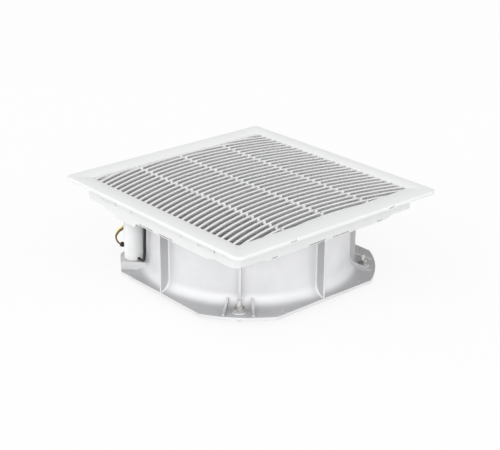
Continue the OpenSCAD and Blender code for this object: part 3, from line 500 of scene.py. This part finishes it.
# The slats' section, in distance from the arc and height: a wedge with rounded upper edges.
half, e = slat_face / 2, slat_edge_r
bend = np.radians([0, 30, 60, 90])
foot_out, foot_in = slat_lean + slat_foot / 2, slat_lean - slat_foot / 2
section = [(half - e + e * np.sin(b), -e + e * np.cos(b)) for b in bend]
section += [(foot_out, -slat_deep + foot_edge), (foot_out - foot_edge, -slat_deep),
            (foot_in + foot_edge, -slat_deep), (foot_in, -slat_deep + foot_edge)]
section += [(-half + e - e * np.cos(b), -e + e * np.sin(b)) for b in bend[:-1]]
section = np.array(section)

# Each slat follows its arc from curtain wall to curtain wall. A step of each bar stands behind it.
sag = slat_radius - np.sqrt(slat_radius ** 2 - window_half[0] ** 2)
x_end, y_end = window_half[0] + curtain_t / 2, window_half[1] + curtain_t / 2
bars_at = [at * window_half[0] / 2 for at in (-1, 0, 1)]
x = np.linspace(-x_end, x_end, slat_points)
for k in range(slat_count):
    centre = window_half[1] - (k + 0.5) * slat_gap - slat_shift + sag - slat_radius
    for middle in bars_at:
        back = centre + np.sqrt((slat_radius - half) ** 2 - middle ** 2)
        if -window_half[1] + bar_step < back < window_half[1]:
            shells.append(block((middle - bar_w / 2, back - bar_step, cover_top - slat_deep),
                                (middle + bar_w / 2, back + half, cover_top - step_sunk), block_edge))
    y = centre + np.sqrt(slat_radius ** 2 - x ** 2)
    inside = np.flatnonzero((y - half < y_end) & (y + half + slat_lean > -y_end))
    for run in np.split(inside, np.where(np.diff(inside) > 1)[0] + 1):
        if len(run) < 2:
            continue
        loops = []
        for at in x[run]:
            deep = centre + np.sqrt((slat_radius + section[:, 0]) ** 2 - at ** 2)
            loops.append(np.column_stack([np.full(len(section), at), np.clip(deep, -y_end, y_end),
                                          cover_top - slat_sunk + section[:, 1]]))
        shells.append(loft(loops))
for middle in bars_at:
    w = bar_w / 2
    outline = [(-w, -slat_deep), (w, -slat_deep), (w, -bar_sunk - bar_edge), (w - bar_edge, -bar_sunk),
               (-w + bar_edge, -bar_sunk), (-w, -bar_sunk - bar_edge)]
    shells.append(loft([np.array([(middle + a, y, cover_top + b) for a, b in outline])
                        for y in (-y_end, y_end)]))

# Knuckles round the hinge's pins, and the catches that the latches hold.
a = np.linspace(0, 2 * np.pi, knuckle_sides, endpoint=False)
w = knuckle_w / 2
for side in (-1, 1):
    middle = side * hinge_x
    loops = []
    for out, r in ((-w, knuckle_r - knuckle_edge), (-w + knuckle_edge, knuckle_r),
                   (w - knuckle_edge, knuckle_r), (w, knuckle_r - knuckle_edge)):
        loops.append(np.column_stack([np.full(knuckle_sides, middle + out), hinge_y + r * np.cos(a),
                                      hinge_z + r * np.sin(a)]))
    shells.append(loft(loops))
    shells.append(block((middle - w, hinge_y - knuckle_r, hinge_z),
                        (middle + w, hinge_y + knuckle_r, face_low + into_face), block_edge))
    middle, front = side * catch_x, -cover_half[1] + rim_t
    shells.append(block((middle - catch_w / 2, front - rim_t / 2, rim_low),
                        (middle + catch_w / 2, front + catch_out, face_low + into_face), block_edge))
points, faces = joined(shells)
grille = new_piece("grille", points * mm, faces, "cover", white_plastic, 34)
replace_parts(grille, "cover_grille")

# Web fillets. The casting's hollow fillet down each face of the four webs, where it meets the duct,
# and out along the flare. It belongs to the housing and hides nothing of it.
web_middle, web_half_t, web_top, fillet_r, fillet_sunk = -3.0, 1.3, 89.0, 1.8, 0.3
duct_out, flare_out, flare_end, flange_t = 127.0, 16.0, 75.0, 4.0
duct_rows, flare_rows = 12, 14
flare_z = flange_t + flare_out + lift
bend = np.radians(np.linspace(0, 90, 7))
off_web = np.concatenate([[-fillet_sunk, -fillet_sunk], fillet_r * (1 - np.cos(bend)), [fillet_r]])
off_duct = np.concatenate([[-fillet_sunk, fillet_r], fillet_r * (1 - np.sin(bend)), [-fillet_sunk]])
leans = np.radians(np.concatenate([np.zeros(duct_rows), np.linspace(0, flare_end, flare_rows)]))
levels = np.concatenate([np.linspace(web_top, flare_z, duct_rows + 1)[:-1], np.full(flare_rows, flare_z)])
shells = []
for face in (-1, 1):
    x = web_middle + face * (web_half_t + off_web)
    loops = []
    for lean, z in zip(leans, levels):
        r = duct_out + flare_out * (1 - np.cos(lean)) + off_duct * np.cos(lean)
        z = z + (off_duct - flare_out) * np.sin(lean)
        loops.append(np.column_stack([x, -np.sqrt(r ** 2 - x ** 2), z]))
    for side in (-1, 1):
        shells.append(loft([loop * [side, side, 1] for loop in loops]))
        shells.append(loft([loop[:, [1, 0, 2]] * [side, side, 1] for loop in loops]))
points, faces = joined(shells)
new_piece("web_fillets", points * mm, faces, "base", cast_aluminium, 50)

# Impeller. Five sickle blades of pressed sheet, welded to a hoop that is pressed round the motor's
# can, and painted black with it.
blade_count, blade_rows, edge_points, camber, sweep = 5, 25, 15, 5.0, 20.0
root_r, root_chord, root_angle, root_t = 45.8, 58.0, 40.0, 3.0
tip_r, tip_chord, tip_angle, tip_t = 119.5, 78.0, 24.0, 1.8
hoop_low, hoop_high, hoop_in, hoop_out, hoop_edge, hoop_sides = 28.5, 66.5, 45.05, 46.6, 0.5, 96
a = np.linspace(0, np.pi, edge_points)
s = np.concatenate([-np.cos(a), np.cos(a)[1:-1]])        # along the chord and back, from -1 to 1
side = np.concatenate([np.ones(edge_points), -np.ones(edge_points - 2)])
shells = []
for k in range(blade_count):
    loops = []
    for t in np.linspace(0, 1, blade_rows):
        r, chord = root_r + (tip_r - root_r) * t, root_chord + (tip_chord - root_chord) * t
        pitch = np.radians(root_angle + (tip_angle - root_angle) * t)
        thick = root_t + (tip_t - root_t) * t
        across = side * thick / 2 * np.sqrt(1 - s * s) + camber * (1 - s * s)
        run = s * chord / 2 * np.cos(pitch) - across * np.sin(pitch)
        rise = s * chord / 2 * np.sin(pitch) + across * np.cos(pitch)
        turn = run / r + np.radians(sweep * t * t + k * 360 / blade_count)
        loops.append(np.column_stack([r * np.cos(turn), r * np.sin(turn), (hoop_low + hoop_high) / 2 + rise]))
    shells.append(loft(loops))


def turned(profile, sides, x=0.0, y=0.0):
    """Skin of a profile of radius and height turned about an upright axis at x, y. The section of a
    ring closes on itself; a rod is given by its two ends, and they are capped."""
    a = np.linspace(0, 2 * np.pi, sides, endpoint=False)
    loops = [np.column_stack([x + r * np.cos(a), y + r * np.sin(a), np.full(sides, z)]) for r, z in profile]
    return loft(loops, closed=len(profile) > 2)


shells.append(turned([(hoop_in, hoop_low), (hoop_in, hoop_high), (hoop_out - hoop_edge, hoop_high),
                      (hoop_out, hoop_high - hoop_edge), (hoop_out, hoop_low + hoop_edge),
                      (hoop_out - hoop_edge, hoop_low)], hoop_sides))
points, faces = joined(shells)
fan_wheel = new_piece("fan_wheel", points * mm, faces, "rotor", black_paint, 30)
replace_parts(fan_wheel, "impeller")

# Windings. Varnished copper coils whose twelve end turns bulge out of each face of the core, wound
# of fine wire that shows as strands.
copper = finish_of("copper", (0.55, 0.21, 0.09), 0.28, metallic=0.9, grain=1800, stretch=(1, 1, 0.2))
coil_out, coil_in, coil_h, coil_faces = 34.0, 17.0, 7.0, (28.5, 54.5)
end_turns, lobe_power, round_power = 12, 0.35, 0.6
strands, strand_h = 34, 0.16
wide, wide_lobe, tall, tall_lobe = 0.82, 0.16, 0.74, 0.22     # shares of the room, and the lobes' part
around = np.linspace(0, 2 * np.pi, 288, endpoint=False)
over = np.linspace(0, 2 * np.pi, 28, endpoint=False)
lobe = abs(np.cos(end_turns / 2 * around)) ** lobe_power
shells = []
for level, up in zip(coil_faces, (-1, 1)):
    loops = []
    for b in over:
        c = np.sign(np.cos(b)) * abs(np.cos(b)) ** round_power
        s = np.sign(np.sin(b)) * abs(np.sin(b)) ** round_power
        strand = strand_h * np.cos(strands * b)
        r = (coil_out + coil_in) / 2 + (coil_out - coil_in) / 2 * c * (wide + wide_lobe * lobe) + strand * c
        rise = coil_h / 2 * (1 + s * (tall + tall_lobe * lobe)) + strand * s
        loops.append(np.column_stack([r * np.cos(around), r * np.sin(around),
                                      level + up * np.clip(rise, 0, coil_h)]))
    shells.append(loft(loops, closed=True))
points, faces = joined(shells)
coils = new_piece("coils", points * mm, faces, "base", copper, 60)
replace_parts(coils, "stator_windings")

# Finger guard. Drawn steel wire: rings welded on four spokes, whose ends are pressed flat into eyes
# for the corner bolts. Zinc plated.
guard_level, ring_level, spoke_d, ring_d, ring_sides, wire_sides = 5.15, 3.55, 2.2, 2.0, 120, 12
rings_at = np.arange(26.0, 123.1, 12.0)
bolt_at, spoke_in, spoke_rows, spoke_gap = 101.0, 25.5, 24, 0.3
eye_in, eye_out, eye_half, eye_edge, bore_edge, bore_in, eye_sides = 3.3, 5.8, 1.25, 0.5, 0.1, 0.2, 36
shells = []
a = np.linspace(0, 2 * np.pi, wire_sides, endpoint=False)
for r in rings_at:
    wire = [(r + ring_d / 2 * np.cos(b), ring_level + ring_d / 2 * np.sin(b)) for b in a]
    shells.append(turned(wire, ring_sides))
eye = [(eye_in, -eye_half + bore_edge), (eye_in, eye_half - bore_edge), (eye_in + bore_in, eye_half),
       (eye_out - eye_edge, eye_half), (eye_out, eye_half - eye_edge), (eye_out, -eye_half + eye_edge),
       (eye_out - eye_edge, -eye_half), (eye_in + bore_in, -eye_half)]
for k in range(4):
    corner = np.pi / 4 + k * np.pi / 2
    out = np.array([np.cos(corner), np.sin(corner), 0])
    rows = np.linspace(spoke_in, bolt_at * np.sqrt(2) - eye_in - spoke_gap, spoke_rows)
    shells.append(tube_along(rows[:, None] * out + [0, 0, guard_level], spoke_d / 2, wire_sides))
    x, y = bolt_at * np.sqrt(2) * out[:2]
    shells.append(turned([(r, guard_level + z) for r, z in eye], eye_sides, x, y))
points, faces = joined(shells)
guard = new_piece("guard", points * mm, faces, "base", steel, 50)
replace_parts(guard, "finger_guard")

# Corner fasteners. Zinc plated steel: hexagon bolts through the guard's eyes and the flange, whose
# heads are the feet the fan stands on, with washers and nuts on the flange.
head_low, head_high, nut_low, nut_high, bolt_top, bolt_r, across = 0.0, 4.0, 13.2, 18.2, 24.5, 3.0, 10.0
washer_r, washer_low, washer_t, washer_edge, bolt_play, nut_play = 7.0, 12.0, 1.2, 0.3, 0.3, 0.02
chamfer_from, chamfer_turn = 0.96, 30   # the chamfer's circle as a share of the flats, its degrees
thread_pitch, thread_deep, thread_rows, shank_in = 1.0, 0.32, 8, 0.1
hexagon_sides, rod_sides, washer_sides = 72, 36, 48


def hexagon(low, high, hole, x, y, turn):
    """Hexagon with chamfered corners, solid or with a hole: its outline's reach beyond the circle
    that the chamfer leaves is taken down at the chamfer's angle."""
    a = np.linspace(0, 2 * np.pi, hexagon_sides, endpoint=False)
    reach = across / 2 / np.cos((a + np.pi / 6) % (np.pi / 3) - np.pi / 6)
    flat = across / 2 * chamfer_from
    fall = (reach - flat) * np.tan(np.radians(chamfer_turn))
    profile = [(flat, low), (reach, low + fall), (reach, high - fall), (flat, high)]
    if hole:
        profile += [(hole + bolt_play, high), (hole, high - bolt_play), (hole, low + bolt_play),
                    (hole + bolt_play, low)]
    c, s = np.cos(a + turn), np.sin(a + turn)
    loops = [np.column_stack([x + r * c, y + r * s, z * np.ones(hexagon_sides)]) for r, z in profile]
    return loft(loops, closed=bool(hole))


def threaded(low, high, r, x, y):
    """Rod with a screw thread: its radius falls and rises once a pitch, shifted along the turn, and
    the rod ends in a point."""
    a = np.linspace(0, 2 * np.pi, rod_sides, endpoint=False)
    rows = [(r - thread_deep * abs(((z / thread_pitch - a / (2 * np.pi)) % 1) * 2 - 1), z)
            for z in np.arange(low, high - thread_pitch * 0.6, thread_pitch / thread_rows)]
    rows += [(r - thread_deep, high - thread_pitch * 0.5), (r - 2 * thread_deep, high)]
    return loft([np.column_stack([x + q * np.cos(a), y + q * np.sin(a), np.full(rod_sides, z)])
                 for q, z in rows])


washer_high = washer_low + washer_t
washer = [(bolt_r + bolt_play, washer_low), (bolt_r + bolt_play, washer_high),
          (washer_r - washer_edge, washer_high), (washer_r, washer_high - washer_edge),
          (washer_r, washer_low)]
bolts, washers, nuts = [], [], []
for k, corner in enumerate([(1, 1), (-1, 1), (-1, -1), (1, -1)]):
    x, y = bolt_at * np.array(corner)
    turn = k * np.pi / 2
    bolts += [hexagon(head_low, head_high, 0, x, y, turn),
              turned([(bolt_r, head_high - shank_in), (bolt_r, nut_low)], rod_sides, x, y),
              threaded(nut_low, bolt_top, bolt_r, x, y)]
    washers.append(turned(washer, washer_sides, x, y))
    nuts.append(hexagon(nut_low, nut_high, bolt_r + nut_play, x, y, turn))
for name, shells, node in (("corner_bolts", bolts, "guard_bolts"),
                           ("corner_washers", washers, "guard_washers"),
                           ("corner_nuts", nuts, "guard_nuts")):
    points, faces = joined(shells)
    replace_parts(new_piece(name, points * mm, faces, "base", steel, 25), node)

# Filter mat. Bonded polyester fleece, thick and springy, cut square and laid on the frame's grid.
# Its cut edges are round, and its upper face is slightly lumpy.
fleece = finish_of("fleece", (0.56, 0.56, 0.55), 0.9, grain=700, grain_depth=0.0009, blotch=60,
                   blotch_share=0.1, specular=0.2)
mat_half, mat_low, mat_high, mat_points = 138.2, 93.0, 104.0, 90
edge_w, edge_drop, lump_room, lump_h, lump_seed = 5, 3.2, 0.5, 0.45, 3


def ripple(x, y, seed, waves=26, shortest=3.0, longest=30.0):
    """Sum of plane waves of random turn, phase and length, from -1 to 1."""
    draw = np.random.default_rng(seed)
    turn, phase = draw.uniform(0, 2 * np.pi, (2, waves, 1, 1))
    size = draw.uniform(shortest, longest, (waves, 1, 1))
    along = x * np.cos(turn) + y * np.sin(turn)
    return np.sin(2 * np.pi * along / size + phase).sum(0) / np.sqrt(waves) / 2


u = np.linspace(-1, 1, mat_points)
x, y = np.meshgrid(u * mat_half, u * mat_half, indexing="ij")
edge = np.clip(np.minimum(mat_half - abs(x), mat_half - abs(y)) / edge_w, 0, 1)
crown = np.sqrt(1 - (1 - edge) ** 2)
top = mat_high - lump_room - edge_drop * (1 - crown) + lump_h * ripple(x, y, lump_seed) * crown
low = mat_low + edge_drop * (1 - crown)
sheet = np.stack([x, y, top], -1).reshape(-1, 3)
under = np.stack([x, y, low], -1).reshape(-1, 3)
n = mat_points * mat_points
upper = grid_faces(mat_points, mat_points, close_columns=False)[:, ::-1]
ring = np.concatenate([np.arange(mat_points), np.arange(2, mat_points + 1) * mat_points - 1,
                       np.arange(n - 2, n - mat_points - 1, -1),
                       np.arange(mat_points - 2, 0, -1) * mat_points])
walls = np.stack([ring, np.roll(ring, -1), np.roll(ring, -1) + n, ring + n], -1)
faces = np.vstack([upper, upper[:, ::-1] + n, walls])
mat = new_piece("mat", np.vstack([sheet, under]) * mm, faces, "base", fleece, 70)
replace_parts(mat, "filter_mat")

# Gasket. A strip of closed-cell foam in one ring under the lip, stuck to it, that seals the frame
# against the cabinet's wall.
foam = finish_of("foam", (0.1, 0.1, 0.105), 0.85, grain=1500, grain_depth=0.0003, specular=0.25)
seal_mid, seal_half, seal_low, seal_high, seal_r = 145.8, 2.95, 107.85, 110.75, 13.0
seal_sides, seal_round = 16, 0.45

a = np.linspace(0, 2 * np.pi, seal_sides, endpoint=False)
out, up = (np.sign(w) * abs(w) ** seal_round for w in (np.cos(a), np.sin(a)))
loops = []
for grow, z in zip(seal_half * out, (seal_low + seal_high) / 2 + (seal_high - seal_low) / 2 * up):
    outline = round_rectangle(seal_mid + grow, seal_mid + grow, seal_r + grow)
    loops.append(np.column_stack([outline, np.full(len(outline), z)]))
faces = grid_faces(seal_sides, len(outline), close_rows=True)[:, ::-1]
seal = new_piece("seal", np.vstack(loops) * mm, faces, "base", foam)
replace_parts(seal, "panel_gasket")
